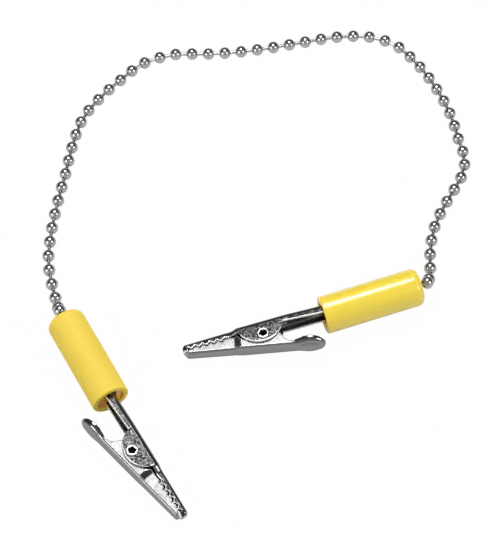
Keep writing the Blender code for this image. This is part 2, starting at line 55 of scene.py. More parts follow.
HOLE_DEPTH = 0.30               # the strip's edge is rolled in this deep round it,
HOLE_TAPER = 0.13               # closes in by this much on the way
HOLE_BEND = (0.05, 0.10)        # and bends where it is this far in and this deep
CUP_BEHIND_MOUTH = 13.2         # sleeve's open end to the middle of its cup
CHAIN_START = 2.3               # cup's middle to the start of the free chain
SLEEVE_LENGTH = 25.5
SLEEVE_RADIUS = 4.75
SLEEVE_MOUTH_ROUND = 0.55
SLEEVE_SEAT = 15.7              # rivet to the sleeve's open end
SLEEVE_YAW_DEG = 1.4
CLIP_PITCH_DEG = 4.7            # each clip leans down on a rivet head and its sleeve's edge
STEPS_PER_KNOT = 24
WELD = 0.0004                   # vertices closer than this are one

# each clip's rivet on the table, the way its jaws point, the side that faces up, and where
# its sleeve's axis passes
CLIPS = {
    "a": {"rivet": (-24.91, -17.57), "heading_deg": -59.7, "side_up": -1, "axis_y": -2.75},
    "b": {"rivet": (6.47, 15.80), "heading_deg": 195.9, "side_up": 1, "axis_y": -2.00},
}

clip_frames = {}
sleeve_frames = {}
for key, place in CLIPS.items():
    up = place["side_up"]
    pitch = math.radians(CLIP_PITCH_DEG)
    mouth_height = ((SLEEVE_RADIUS - SLEEVE_MOUTH_ROUND) * math.cos(pitch)
                    + SLEEVE_MOUTH_ROUND * (1 - math.sin(pitch)))
    rivet_height = mouth_height - SLEEVE_SEAT * math.sin(pitch)
    clip_frames[key] = (
        Matrix.Translation((place["rivet"][0] * MM, place["rivet"][1] * MM, rivet_height * MM))
        @ Matrix.Rotation(math.radians(place["heading_deg"]), 4, "Z")
        @ Matrix.Rotation(0 if up > 0 else math.pi, 4, "X")
        @ Matrix.Rotation(up * pitch, 4, "Y"))
    sleeve_frames[key] = (
        clip_frames[key]
        @ Matrix.Translation((-SLEEVE_SEAT * MM, place["axis_y"] * MM, 0))
        @ Matrix.Rotation(math.radians(SLEEVE_YAW_DEG), 4, "Z"))

# the chain's way over the table from sleeve a to sleeve b, in metres
ON_TABLE = 0.00163
CHAIN_ROUTE = [
    (-0.04348, 0.02103, 0.00680), (-0.04403, 0.02293, 0.00590), (-0.04438, 0.02433, 0.00430),
    (-0.04488, 0.02623, 0.00260), (-0.04568, 0.02943, 0.00175), (-0.04680, 0.03380, ON_TABLE),
    (-0.04800, 0.04040, ON_TABLE), (-0.04790, 0.04860, ON_TABLE), (-0.04660, 0.06010, ON_TABLE),
    (-0.04510, 0.06910, ON_TABLE), (-0.04360, 0.07920, ON_TABLE), (-0.04130, 0.08800, ON_TABLE),
    (-0.03740, 0.09460, ON_TABLE), (-0.03200, 0.10110, ON_TABLE), (-0.02570, 0.10730, ON_TABLE),
    (-0.01760, 0.11040, ON_TABLE), (-0.00890, 0.11060, ON_TABLE), (0.00030, 0.11140, ON_TABLE),
    (0.00930, 0.11300, ON_TABLE), (0.01820, 0.11500, ON_TABLE), (0.02710, 0.11680, ON_TABLE),
    (0.03610, 0.11670, ON_TABLE), (0.04230, 0.11410, ON_TABLE), (0.04790, 0.10760, ON_TABLE),
    (0.05310, 0.09820, ON_TABLE), (0.05640, 0.08900, ON_TABLE), (0.05820, 0.07970, ON_TABLE),
    (0.05930, 0.07360, ON_TABLE), (0.05810, 0.06820, ON_TABLE), (0.05410, 0.06040, ON_TABLE),
    (0.05050, 0.05240, ON_TABLE), (0.04880, 0.04380, ON_TABLE), (0.04857, 0.03903, 0.00175),
    (0.04832, 0.03633, 0.00220), (0.04782, 0.03383, 0.00320), (0.04742, 0.03223, 0.00490),
    (0.04697, 0.03073, 0.00630), (0.04612, 0.02988, 0.00683),
]


def on_sleeve_axis(key, behind):
    """Point on a sleeve's axis, behind its open end by a distance in mm."""
    return tuple((sleeve_frames[key] @ Matrix.Translation((-behind * MM, 0, 0))).translation)


# inside a sleeve the chain keeps to the axis, here at distances behind the open end, and the
# whole route is one smooth cubic curve through its knots
in_sleeve = [CUP_BEHIND_MOUTH + CHAIN_START, 18.5, 22.0, SLEEVE_LENGTH]
knots = np.array([on_sleeve_axis("a", behind) for behind in in_sleeve] + CHAIN_ROUTE
                 + [on_sleeve_axis("b", behind) for behind in reversed(in_sleeve)])
chord = np.linalg.norm(np.diff(knots, axis=0), axis=1)
slope = np.gradient(knots, np.concatenate([[0], np.cumsum(chord)]), axis=0)
dense = []
for i in range(len(knots) - 1):
    for t in np.linspace(0, 1, STEPS_PER_KNOT, endpoint=False):
        dense.append((2 * t**3 - 3 * t**2 + 1) * knots[i]
                     + (t**3 - 2 * t**2 + t) * chord[i] * slope[i]
                     + (3 * t**2 - 2 * t**3) * knots[i + 1]
                     + (t**3 - t**2) * chord[i] * slope[i + 1])
dense = np.array(dense + [knots[-1]])
along = CHAIN_START * MM + np.concatenate(
    [[0], np.cumsum(np.linalg.norm(np.diff(dense, axis=0), axis=1))])
cup_to_cup = along[-1] + CHAIN_START * MM


def chain_point(distance):
    """Place on the chain's middle line, at a distance in metres from cup a's middle."""
    return Vector([np.interp(distance, along, dense[:, k]) for k in range(3)])


def facing(point, way):
    """Matrix that puts a piece at a point with its Z axis along a way."""
    return Matrix.Translation(point) @ way.to_track_quat("Z", "Y").to_matrix().to_4x4()


def arc(centre_u, centre_v, radius, start_deg, end_deg, steps):
    """Points of an arc about (centre_u, centre_v)."""
    angles = np.radians(np.linspace(start_deg, end_deg, steps + 1))
    return [(centre_u + radius * math.cos(a), centre_v + radius * math.sin(a)) for a in angles]


def turned(profile, steps, closed, lobes=None):
    """Vertices and faces of a profile of (radius, z) in mm turned about Z.

    lobes(radius, z, angle) may return the radius to use at that angle."""
    verts = []
    for step in range(steps):
        angle = 2 * math.pi * step / steps
        for radius, z in profile:
            r = lobes(radius, z, angle) if lobes else radius
            verts.append((r * MM * math.cos(angle), r * MM * math.sin(angle), z * MM))
    count = len(profile)
    faces = []
    for step in range(steps):
        here = step * count
        after = (step + 1) % steps * count
        for i in range(count if closed else count - 1):
            j = (i + 1) % count
            faces.append((here + i, here + j, after + j, after + i))
    return verts, faces


def shade(mesh):
    """Smooth shading that keeps the edges sharper than 40 degrees."""
    mesh.shade_smooth()
    mesh.set_sharp_from_angle(angle=math.radians(40))


def piece(name, verts, faces, matrix=None, materials=(), finishes=None):
    """Object from vertices in metres, welded and facing outwards.

    finishes gives each face its material, one of the materials."""
    mesh = bpy.data.meshes.new(name)
    mesh.from_pydata([tuple(v) for v in verts], [], [tuple(f) for f in faces])
    for material in materials:
        mesh.materials.append(material)
    if finishes:
        mesh.polygons.foreach_set("material_index", [materials.index(f) for f in finishes])
    solid = bmesh.new()
    solid.from_mesh(mesh)
    bmesh.ops.remove_doubles(solid, verts=solid.verts, dist=WELD * MM)
    bmesh.ops.dissolve_degenerate(solid, edges=solid.edges, dist=WELD / 2 * MM)
    bmesh.ops.recalc_face_normals(solid, faces=solid.faces)
    solid.to_mesh(mesh)
    solid.free()
    if matrix is not None:
        mesh.transform(matrix)
    shade(mesh)
    obj = bpy.data.objects.new(name, mesh)
    bpy.context.scene.collection.objects.link(obj)
    return obj


def linear(colour):
    """Linear RGBA from an sRGB hex colour."""
    parts = [int(colour[i:i + 2], 16) / 255 for i in (1, 3, 5)]
    return (*[p / 12.92 if p <= 0.04045 else ((p + 0.055) / 1.055) ** 2.4 for p in parts], 1.0)


def add_node(tree, kind, inputs=None, **settings):
    """Add a node with its settings; an input gets a value or a link from another node."""
    made = tree.nodes.new(kind)
    for name, value in settings.items():
        setattr(made, name, value)
    for name, value in (inputs or {}).items():
        if isinstance(value, bpy.types.NodeSocket):
            tree.links.new(value, made.inputs[name])
        else:
            made.inputs[name].default_value = value
    return made


def new_material(name):
    """Empty node material and its tree."""
    material = bpy.data.materials.new(name)
    material.use_nodes = True
    material.node_tree.nodes.clear()
    return material, material.node_tree


# Nickel plate, barrel-plated and tumbled: bright, with a faint haze that softens lamps' edges.
# The scale of a pattern, here and below, is in cells per metre: 900 gives cells of 1.1 mm.
nickel, tree = new_material("bright_nickel_plate_on_balls")
place = add_node(tree, "ShaderNodeTexCoord").outputs["Object"]
haze = add_node(tree, "ShaderNodeTexNoise", {"Vector": place, "Scale": 900.0, "Detail": 2.0})
gloss = add_node(tree, "ShaderNodeMapRange",
                 {"Value": haze.outputs["Fac"], "To Min": 0.20, "To Max": 0.30})
tone = add_node(tree, "ShaderNodeMix",
                {"Factor": haze.outputs["Fac"], "A": linear("#B4B4B4"), "B": linear("#C7C7C7")},
                data_type="RGBA")
shader = add_node(tree, "ShaderNodeBsdfPrincipled",
                  {"Base Color": tone.outputs["Result"], "Metallic": 1.0,
                   "Roughness": gloss.outputs["Result"]})
add_node(tree, "ShaderNodeOutputMaterial", {"Surface": shader.outputs["BSDF"]})

# one ball turned about Z, drawn in at both ends where its pins go in
hole_deg = math.degrees(math.acos(PIN_HOLE_RADIUS / BALL_RADIUS))
hole_z = BALL_RADIUS * math.sin(math.radians(hole_deg))
hole_edge = [(0, hole_z - HOLE_DEPTH), (PIN_HOLE_RADIUS - HOLE_TAPER, hole_z - HOLE_DEPTH),
             (PIN_HOLE_RADIUS - HOLE_BEND[0], hole_z - HOLE_BEND[1])]
ball_outline = hole_edge + arc(0, 0, BALL_RADIUS, hole_deg, -hole_deg, 18)
ball_outline += [(radius, -z) for radius, z in reversed(hole_edge)]
ball_verts, ball_faces = turned(ball_outline, steps=32, closed=False)

balls_out = [FIRST_BALL_OUT + BALL_PITCH * i for i in range(BALLS_OUT)]
gap_b = cup_to_cup / MM - balls_out[-1]
shares = [i / (BALLS_IN_SLEEVE + 1) for i in range(1, BALLS_IN_SLEEVE + 1)]
balls_a = [FIRST_BALL_OUT * share for share in shares]
balls_b = [balls_out[-1] + gap_b * share for share in shares]
ball_places = [place * MM for place in balls_a + balls_out + balls_b]

chain_verts = []
chain_faces = []


def add_shell(verts, faces, matrix):
    """Add one ball or pin to the chain's mesh."""
    first = len(chain_verts)
    chain_verts.extend(matrix @ Vector(v) for v in verts)
    chain_faces.extend(tuple(first + i for i in face) for face in faces)


beside = 0.5 * MM
for distance in ball_places:
    way = chain_point(distance + beside) - chain_point(distance - beside)
    add_shell(ball_verts, ball_faces, facing(chain_point(distance), way))

pin_ends = [0.0] + ball_places + [cup_to_cup]
for before, after in zip(pin_ends[:-1], pin_ends[1:]):
    start = chain_point(max(before, along[0]))
    end = chain_point(min(after, along[-1]))
    way = (end - start).normalized()
    start = start + way * (BALL_RADIUS - PIN_IN_BALL if before > 0 else -PIN_IN_CUP) * MM
    end = end - way * (BALL_RADIUS - PIN_IN_BALL if after < cup_to_cup else -PIN_IN_CUP) * MM
    length = (end - start).length / MM
    pin_outline = [(0, 0), (PIN_RADIUS, 0), (PIN_RADIUS, length / 2), (PIN_RADIUS, length), (0, length)]
    add_shell(*turned(pin_outline, steps=16, closed=False), facing(start, way))

chain = piece("ball_chain_links", chain_verts, chain_faces, materials=[nickel])
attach(chain, "chain")
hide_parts("ball_chain")

# ---------------------------------------------------------------- chain end balls
# The last ball at each end is the same rolled ball, held so that it turns in the tail's cup.
# Its CAD solid is right as it is and only gets the chain's plate.
for key in CLIPS:
    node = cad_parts["chain_end_ball_" + key]
    node.data.materials.clear()
    node.data.materials.append(nickel)

# ---------------------------------------------------------------- sleeves
# Soft vinyl moulded over a mandrel and pushed over the clip's tail: a round-edged tube with
# one nearly closed end, where the chain comes out.  Its skin has a slight orange peel.
SLEEVE_BORE_RADIUS = 3.35
SLEEVE_BORE_CHAMFER = 0.25
SLEEVE_END_WALL = 1.3
SLEEVE_HOLE_RADIUS = 2.2
SLEEVE_END_ROUND = 1.7
HOLE_ROUND = 0.25
MOUTH_EDGE = 0.32               # rounding of the mouth's outer edge
GRIP_DEPTH = 0.7                # the bore closes on the tail this far inside the open end
GRIP_THICKNESS = 1.5
GRIP_ROUND = 0.4
GRIP_SLIT = 0.02                # what is left open at the tail's middle

# The same vinyl on both, but sleeve a has a softer bloom on it and sleeve b keeps its shine.
VINYLS = {      # deeper and paler yellow, lowest and highest roughness, weight of the shine
    "a": ("#E3C442", "#E8CB4D", 0.58, 0.70, 0.0),
    "b": ("#EBCD3B", "#F1D545", 0.34, 0.40, 0.9),
}
vinyls = {}
for key, (deep, pale, smooth, rough, shine) in VINYLS.items():
    vinyls[key], tree = new_material("moulded_yellow_vinyl_" + key)
    place = add_node(tree, "ShaderNodeTexCoord").outputs["Object"]
    cloud = add_node(tree, "ShaderNodeTexNoise", {"Vector": place, "Scale": 180.0, "Detail": 3.0})
    tone = add_node(tree, "ShaderNodeMix",
                    {"Factor": cloud.outputs["Fac"], "A": linear(deep), "B": linear(pale)},
                    data_type="RGBA")
    peel = add_node(tree, "ShaderNodeTexNoise", {"Vector": place, "Scale": 1400.0, "Detail": 1.0})
    skin = add_node(tree, "ShaderNodeBump",
                    {"Height": peel.outputs["Fac"], "Strength": 0.06, "Distance": 0.02 * MM})
    gloss = add_node(tree, "ShaderNodeMapRange",
                     {"Value": cloud.outputs["Fac"], "To Min": smooth, "To Max": rough})
    shader = add_node(tree, "ShaderNodeBsdfPrincipled",
                      {"Base Color": tone.outputs["Result"], "Roughness": gloss.outputs["Result"],
                       "IOR": 1.53, "Coat Weight": shine, "Coat Roughness": 0.08,
                       "Subsurface Weight": 0.80, "Subsurface Scale": 2.8 * MM,
                       "Subsurface Radius": (1.0, 0.7, 0.15), "Normal": skin.outputs["Normal"]})
    add_node(tree, "ShaderNodeOutputMaterial", {"Surface": shader.outputs["BSDF"]})

# The same vinyl in the mouth, painted a brighter orange: painted light that stands in for the light coming
# through the wall.
vinyl_with_painted_glow, tree = new_material("vinyl_with_painted_glow_inside_mouth")
place = add_node(tree, "ShaderNodeTexCoord").outputs["Object"]
flow = add_node(tree, "ShaderNodeTexNoise", {"Vector": place, "Scale": 400.0, "Detail": 2.0})
tone = add_node(tree, "ShaderNodeMix",
                {"Factor": flow.outputs["Fac"], "A": linear("#FFB43A"), "B": linear("#FFC955")},
                data_type="RGBA")
shader = add_node(tree, "ShaderNodeBsdfPrincipled",
                  {"Base Color": tone.outputs["Result"], "Roughness": 0.5, "IOR": 1.53})
add_node(tree, "ShaderNodeOutputMaterial", {"Surface": shader.outputs["BSDF"]})

TURN_TO_X = Matrix.Rotation(math.pi / 2, 4, "Y")     # turns a piece's Z axis to +X
mouth = SLEEVE_RADIUS - MOUTH_EDGE
end = SLEEVE_RADIUS - SLEEVE_END_ROUND
inside = SLEEVE_END_WALL - SLEEVE_LENGTH
sleeve_outline = [(SLEEVE_BORE_RADIUS + SLEEVE_BORE_CHAMFER, 0)]
sleeve_outline += arc(mouth, -MOUTH_EDGE, MOUTH_EDGE, 90, 0, 8)
sleeve_outline += [(SLEEVE_RADIUS, -SLEEVE_LENGTH * f) for f in (0.15, 0.3, 0.5, 0.7, 0.85)]
sleeve_outline += arc(end, SLEEVE_END_ROUND - SLEEVE_LENGTH, SLEEVE_END_ROUND, 0, -90, 12)
sleeve_outline += arc(SLEEVE_HOLE_RADIUS + HOLE_ROUND, HOLE_ROUND - SLEEVE_LENGTH, HOLE_ROUND,
                      -90, -180, 4)
grip_end = -GRIP_DEPTH - GRIP_THICKNESS
sleeve_outline += [(SLEEVE_HOLE_RADIUS, inside), (SLEEVE_BORE_RADIUS, inside),
                   (SLEEVE_BORE_RADIUS, -SLEEVE_LENGTH / 2), (SLEEVE_BORE_RADIUS, grip_end),
                   (GRIP_SLIT, grip_end), (GRIP_SLIT, -GRIP_DEPTH)]
sleeve_outline += arc(SLEEVE_BORE_RADIUS - GRIP_ROUND, GRIP_ROUND - GRIP_DEPTH, GRIP_ROUND, -90, 0, 4)
sleeve_outline += arc(SLEEVE_BORE_RADIUS + SLEEVE_BORE_CHAMFER, -SLEEVE_BORE_CHAMFER,
                      SLEEVE_BORE_CHAMFER, 180, 90, 4)[:-1]
verts, faces = turned(sleeve_outline, steps=96, closed=True)
for key in CLIPS:
    sleeve = piece("vinyl_sleeve_" + key, verts, faces, materials=[vinyls[key], vinyl_with_painted_glow])
    # faces inside the mouth get the vinyl with the painted glow
    for face in sleeve.data.polygons:
        out = math.hypot(face.center.x, face.center.y)
        if (out < (SLEEVE_BORE_RADIUS + SLEEVE_BORE_CHAMFER) * MM
                and -SLEEVE_LENGTH / 2 < face.center.z / MM < -SLEEVE_BORE_CHAMFER):
            face.material_index = 1
    sleeve.data.transform(sleeve_frames[key] @ TURN_TO_X)
    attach(sleeve, "clip_" + key)
    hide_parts("sleeve_" + key)

# ---------------------------------------------------------------- upper jaws
# One pressing of nickel-plated spring steel each: toothed nose, round ears for the rivet and
# a channel tail that runs into the sleeve and ends in the cup for the chain's last ball.
SHEET = 0.55
BACK_BEND = 0.8                 # outer radius where the walls leave the back at the nose
EAR_BEND = 1.25                 # and from the ears rearward
EAR_BEND_X = 9.5                # where the bends start to grow
EAR_BEND_LENGTH = 4.5
BEND_STEPS = 6
BACK_Y = -4.1
JAW_TIP_X = 19.9
JAW_TIP_HALF = 1.40
JAW_HALF = 1.65
EAR_HALF = 2.80
TAIL_HALF = 2.35
TIP_CORNER = 0.85
TIP_CROWN = 0.04                # the tip's middle stands this far proud of its corners
TIP_OPEN = [(0.0, 0.0), (0.01, 0.25), (0.02, 0.43)]    # behind the tip, half width: no wall
TIP_WALL = (0.03, 0.49)         # the wall across the tip begins here
NOSE_EDGE_Y = -2.05
NOSE_STEP = 0.12                # from the nose's edge down to the first tooth
EAR_RADIUS = 5.9
EAR_CENTRE_X = 0.15
EAR_DROP = 2.05
NECK_X = 8.0
NECK_LENGTH = 2.4
NECK_EDGE_Y = -2.35
TAIL_NECK_X = -5.4
TAIL_NECK_LENGTH = 9.4
TAIL_EDGE_FRONT_Y = -1.90
TAIL_EDGE_REAR_Y = -1.40
TAIL_END_X = -17.7
TOOTH_PITCH = 1.87
TOOTH_COUNT = 5
TOOTH_DEPTH = 0.62
FIRST_TOOTH_X = 17.7
FIRST_TOOTH_Y = -2.40
TOOTH_LINE_SLOPE = -0.055
RIVET_HOLE_RADIUS = 1.24
CUT_EDGE_ROUND = 0.27           # tumbling rounds the punched edges
STATION_GAP = 0.3               # longest step between two stations along a jaw
LEAST_WALL = 0.05               # wall left below a bend,
LEAST_INNER_BEND = 0.03         # inner radius of a bend
LEAST_STRAIGHT = 0.02           # and straight wall above its rounded edge
MITRE_LIMIT = 0.6
DISH_FADE = 0.4                 # a dish in the back fades out over this depth of the walls


def ramp(x, start, length, before, after):
    """Smooth step from one value to another, going down in x from its start."""
    t = min(max((start - x) / length, 0), 1)
    return before + (after - before) * t * t * (3 - 2 * t)


def tooth_edge(x):
    """Lower edge of the upper jaw's wall along the teeth, in the clip frame."""
    wave = 1 - math.cos(2 * math.pi * (x - FIRST_TOOTH_X) / TOOTH_PITCH)
    return FIRST_TOOTH_Y + TOOTH_LINE_SLOPE * (x - FIRST_TOOTH_X) - TOOTH_DEPTH / 2 * wave


def filled(points, spacing):
    """The same line with points added wherever two are further apart than the spacing."""
    full = [points[0]]
    for before, after in zip(points[:-1], points[1:]):
        count = max(1, math.ceil(math.dist(before, after) / spacing))
        full += [tuple(np.array(before) + (np.array(after) - np.array(before)) * i / count)
                 for i in range(1, count + 1)]
    return full


def pressed_channel(side, back_y, towards, bend, closed_rear, finish_of, splay=0.0,
                    rim_round=None, emboss=None):
    """Vertices, faces and finishes of bent sheet, from one side's stations, front to rear.

    side holds (x, half width, wall depth) from the tip's middle.  The sheet's back lies at
    back_y and its walls run along y, towards +1 or -1.  bend(x) is the outer bend's radius,
    splay opens the walls, rim_round(x) rounds their edges and emboss(x, z) moves the back.
    finish_of(zone, x) gives the material of the back, bend, wall, roll, cut edge or inside."""
    places = np.array([(x, half) for x, half, depth in side])
    count = len(places)
    normals = [(-1.0, 0.0)]
    for i in range(1, count - 1):
        first = places[i] - places[i - 1]
        second = places[i + 1] - places[i]
        first = first / np.linalg.norm(first)
        second = second / np.linalg.norm(second)
        normal = np.array([-(first[1] + second[1]), first[0] + second[0]])
        normal = normal / np.linalg.norm(normal)
        stretch = max(normal @ np.array([-first[1], first[0]]), MITRE_LIMIT)
        normals.append(tuple(normal / stretch))
    normals.append((1.0, 0.0) if closed_rear else (0.0, -1.0))
    angles = np.radians(np.linspace(90, 0, BEND_STEPS + 1))
    corner = np.radians([30, 60, 90])
    verts = []
    for (x, half, depth), normal in zip(side, normals):
        radius = max(min(bend(x), depth - LEAST_WALL), SHEET + LEAST_INNER_BEND)
        rim = rim_round(x) if rim_round else CUT_EDGE_ROUND
        depth = max(depth, radius + rim + LEAST_STRAIGHT)
        wall = np.linspace(radius, depth - rim, 5)[1:]
        lean = -splay * (wall - radius)
        inner_radius = radius - SHEET
        outer = [(radius - radius * math.cos(a), radius - radius * math.sin(a)) for a in angles]
        outer += list(zip(lean, wall))
        outer += [(lean[-1] + rim - rim * math.cos(a), depth - rim + rim * math.sin(a)) for a in corner]
        inner = [(lean[-1] + SHEET - rim + rim * math.cos(a), depth - rim + rim * math.sin(a))
                 for a in corner[::-1]]
        inner += [(SHEET + w, d) for w, d in zip(lean, wall)][::-1]
        inner += [(radius - inner_radius * math.cos(a), radius - inner_radius * math.sin(a))
                  for a in angles[::-1]]
        points = []
        for web_depth, line in ((0.0, outer), (SHEET, inner)):
            row = [(x + normal[0] * o, half + normal[1] * o, d) for o, d in line]
            flat = row[0] if web_depth == 0 else row[-1]
            across = [(flat[0], flat[1] * f, web_depth) for f in np.linspace(0, 1, 7)[:-1]]
            points += across + row if web_depth == 0 else row + across[::-1]
        rows = len(points)
        for px, pz, depth_here in points:
            y = back_y + towards * depth_here
            if emboss:
                y += emboss(px, pz) * max(0.0, 1 - max(0.0, depth_here - SHEET) / DISH_FADE)
            verts.append((px * MM, y * MM, max(pz, 0.0) * MM))
    # strips of faces from the middle of the back out; the first of the bend looks like the back
    zones = ["back"] * 7 + ["bend"] * 5 + ["wall"] * 4 + ["roll"] * 3 + ["cut edge"] + ["roll"] * 3
    zones += ["inside"] * (rows - 1 - len(zones))
    faces = []
    finishes = []
    for i in range(count - 1):
        for k in range(rows - 1):
            here = i * rows + k
            faces.append((here, here + 1, here + rows + 1, here + rows))
            finishes.append(finish_of(zones[k], side[i][0]))
    if not closed_rear:
        faces.append(tuple((count - 1) * rows + k for k in range(rows)))
        finishes.append(finish_of("cut edge", side[-1][0]))
    total = len(verts)
    verts += [(x, y, -z) for x, y, z in verts]
    faces += [tuple(total + k for k in reversed(face)) for face in faces]
    return verts, faces, finishes * 2


def cut_rivet_hole(obj):
    """Round hole for the rivet along the Z axis of a jaw that is still in its own frame."""
    half = EAR_HALF + 1
    outline = [(0, half), (RIVET_HOLE_RADIUS, half), (RIVET_HOLE_RADIUS, -half), (0, -half)]
    verts, faces = turned(outline, steps=40, closed=False)
    tool = piece(obj.name + "_hole", verts, faces)
    modifier = obj.modifiers.new("hole", "BOOLEAN")
    modifier.operation = "DIFFERENCE"
    modifier.solver = "EXACT"
    modifier.object = tool
    bpy.context.view_layer.update()
    shown = obj.evaluated_get(bpy.context.evaluated_depsgraph_get())
    mesh = bpy.data.meshes.new_from_object(shown)
    obj.modifiers.clear()
    obj.data = mesh
    bpy.data.objects.remove(tool, do_unlink=True)


def jaw_half(x):
    """Half width of the upper jaw over its length."""
    if x > NECK_X:
        straight = JAW_TIP_X - TIP_CORNER
        return JAW_TIP_HALF + (JAW_HALF - JAW_TIP_HALF) * max(straight - x, 0) / (straight - NECK_X)
    if x > 0:
        return ramp(x, NECK_X, NECK_LENGTH, JAW_HALF, EAR_HALF)
    return ramp(x, TAIL_NECK_X, TAIL_NECK_LENGTH, EAR_HALF, TAIL_HALF)


first_root = FIRST_TOOTH_X + TOOTH_PITCH / 2
last_root = FIRST_TOOTH_X - (TOOTH_COUNT - 0.5) * TOOTH_PITCH
ear_centre_y = EAR_DROP - EAR_RADIUS
ear_front_deg = math.degrees(math.asin((NECK_EDGE_Y - ear_centre_y) / EAR_RADIUS))
ear_rear_deg = 180 - math.degrees(math.asin((TAIL_EDGE_FRONT_Y - ear_centre_y) / EAR_RADIUS))
edge = [(JAW_TIP_X - TIP_CORNER, NOSE_EDGE_Y), (first_root + NOSE_STEP, NOSE_EDGE_Y)]
edge += [(x, tooth_edge(x)) for x in np.linspace(first_root, last_root, 61)]
edge += [(NECK_X, NECK_EDGE_Y)]
edge += arc(EAR_CENTRE_X, ear_centre_y, EAR_RADIUS, ear_front_deg, ear_rear_deg, 60)
edge += [(TAIL_END_X, TAIL_EDGE_REAR_Y)]
edge = filled(edge, STATION_GAP)


def back_bend(x):
    """Radius of the bends along the upper jaw's back, larger from the ears rearward."""
    return ramp(x, EAR_BEND_X, EAR_BEND_LENGTH, BACK_BEND, EAR_BEND)


upper_side = [(JAW_TIP_X - behind, half, BACK_BEND) for behind, half in TIP_OPEN]
upper_side += [(JAW_TIP_X - TIP_WALL[0], TIP_WALL[1], NOSE_EDGE_Y - BACK_Y)]
upper_side += [(x - TIP_CROWN, half, NOSE_EDGE_Y - BACK_Y)
               for x, half in arc(JAW_TIP_X - TIP_CORNER, JAW_TIP_HALF - TIP_CORNER, TIP_CORNER, 0, 90, 8)]
upper_side += [(x, jaw_half(x), y - BACK_Y) for x, y in edge[1:]]

# Nickel over tumbled steel: dull and dark in blotches, paler between them, darker on the nose.
# The real pits are finer than these 0.6 mm cells, which are drawn coarser so that they show.
tumbled = {}
for area, dull, clear in (("ears", "#1C1C1C", "#7C7C7C"), ("nose", "#161616", "#606060")):
    tumbled[area], tree = new_material("nickel_plate_over_tumbled_steel_" + area)
    place = add_node(tree, "ShaderNodeTexCoord").outputs["Object"]
    blotch = add_node(tree, "ShaderNodeTexNoise",
                      {"Vector": place, "Scale": 1700.0, "Detail": 4.0, "Roughness": 0.7})
    speck = add_node(tree, "ShaderNodeMapRange",
                     {"Value": blotch.outputs["Fac"], "From Min": 0.42, "From Max": 0.74})
    tone = add_node(tree, "ShaderNodeMix",
                    {"Factor": speck.outputs["Result"], "A": linear(dull), "B": linear(clear)},
                    data_type="RGBA")
    gloss = add_node(tree, "ShaderNodeMapRange",
                     {"Value": blotch.outputs["Fac"], "From Min": 0.3, "From Max": 0.7,
                      "To Min": 0.46, "To Max": 0.34})
    dents = add_node(tree, "ShaderNodeBump",
                     {"Height": blotch.outputs["Fac"], "Strength": 0.25, "Distance": 0.05 * MM})
    shader = add_node(tree, "ShaderNodeBsdfPrincipled",
                      {"Base Color": tone.outputs["Result"], "Metallic": 1.0,
                       "Roughness": gloss.outputs["Result"], "Normal": dents.outputs["Normal"]})
    add_node(tree, "ShaderNodeOutputMaterial", {"Surface": shader.outputs["BSDF"]})

# Punched edges, burnished in the tumbler before plating: the brightest lines on the clip.
burnished, tree = new_material("burnished_cut_edge")
place = add_node(tree, "ShaderNodeTexCoord").outputs["Object"]
rub = add_node(tree, "ShaderNodeTexNoise", {"Vector": place, "Scale": 1600.0, "Detail": 2.0})
gloss = add_node(tree, "ShaderNodeMapRange",
                 {"Value": rub.outputs["Fac"], "To Min": 0.34, "To Max": 0.46})
shader = add_node(tree, "ShaderNodeBsdfPrincipled",
                  {"Base Color": linear("#FFFFFF"), "Metallic": 1.0, "Roughness": gloss.outputs["Result"]})
add_node(tree, "ShaderNodeOutputMaterial", {"Surface": shader.outputs["BSDF"]})

# Inside the bends the sheet keeps the press tool's smooth surface: dark, with sharp glints.
smooth_plate, tree = new_material("smooth_nickel_plate_in_bends")
place = add_node(tree, "ShaderNodeTexCoord").outputs["Object"]
haze = add_node(tree, "ShaderNodeTexNoise", {"Vector": place, "Scale": 1300.0, "Detail": 2.0})
gloss = add_node(tree, "ShaderNodeMapRange",
                 {"Value": haze.outputs["Fac"], "To Min": 0.10, "To Max": 0.22})
shader = add_node(tree, "ShaderNodeBsdfPrincipled",
                  {"Base Color": linear("#8A8A8A"), "Metallic": 1.0, "Roughness": gloss.outputs["Result"]})
add_node(tree, "ShaderNodeOutputMaterial", {"Surface": shader.outputs["BSDF"]})

# Both pressings' backs keep the dull skin of the rolled strip under its plate: an even satin grey.
satin, tree = new_material("satin_nickel_plate_on_rolled_strip")
place = add_node(tree, "ShaderNodeTexCoord").outputs["Object"]
grain = add_node(tree, "ShaderNodeTexNoise",
                 {"Vector": place, "Scale": 2400.0, "Detail": 3.0, "Roughness": 0.6})
tone = add_node(tree, "ShaderNodeMix",
                {"Factor": grain.outputs["Fac"], "A": linear("#848484"), "B": linear("#ACACAC")},
                data_type="RGBA")
shader = add_node(tree, "ShaderNodeBsdfPrincipled",
                  {"Base Color": tone.outputs["Result"], "Metallic": 1.0, "Roughness": 0.34})
add_node(tree, "ShaderNodeOutputMaterial", {"Surface": shader.outputs["BSDF"]})

upper_finishes = [tumbled["ears"], tumbled["nose"], burnished, smooth_plate, satin]


def upper_finish(zone, x):
    """Which of the upper jaw's finishes a zone has; the neck is drawn smooth."""
    if zone != "back" and NECK_X - NECK_LENGTH < x < NECK_X:
        return smooth_plate
    if zone in ("wall", "cut edge"):
        return tumbled["nose" if x > NECK_X else "ears"]
    return {"roll": burnished, "bend": smooth_plate, "inside": smooth_plate, "back": satin}[zone]


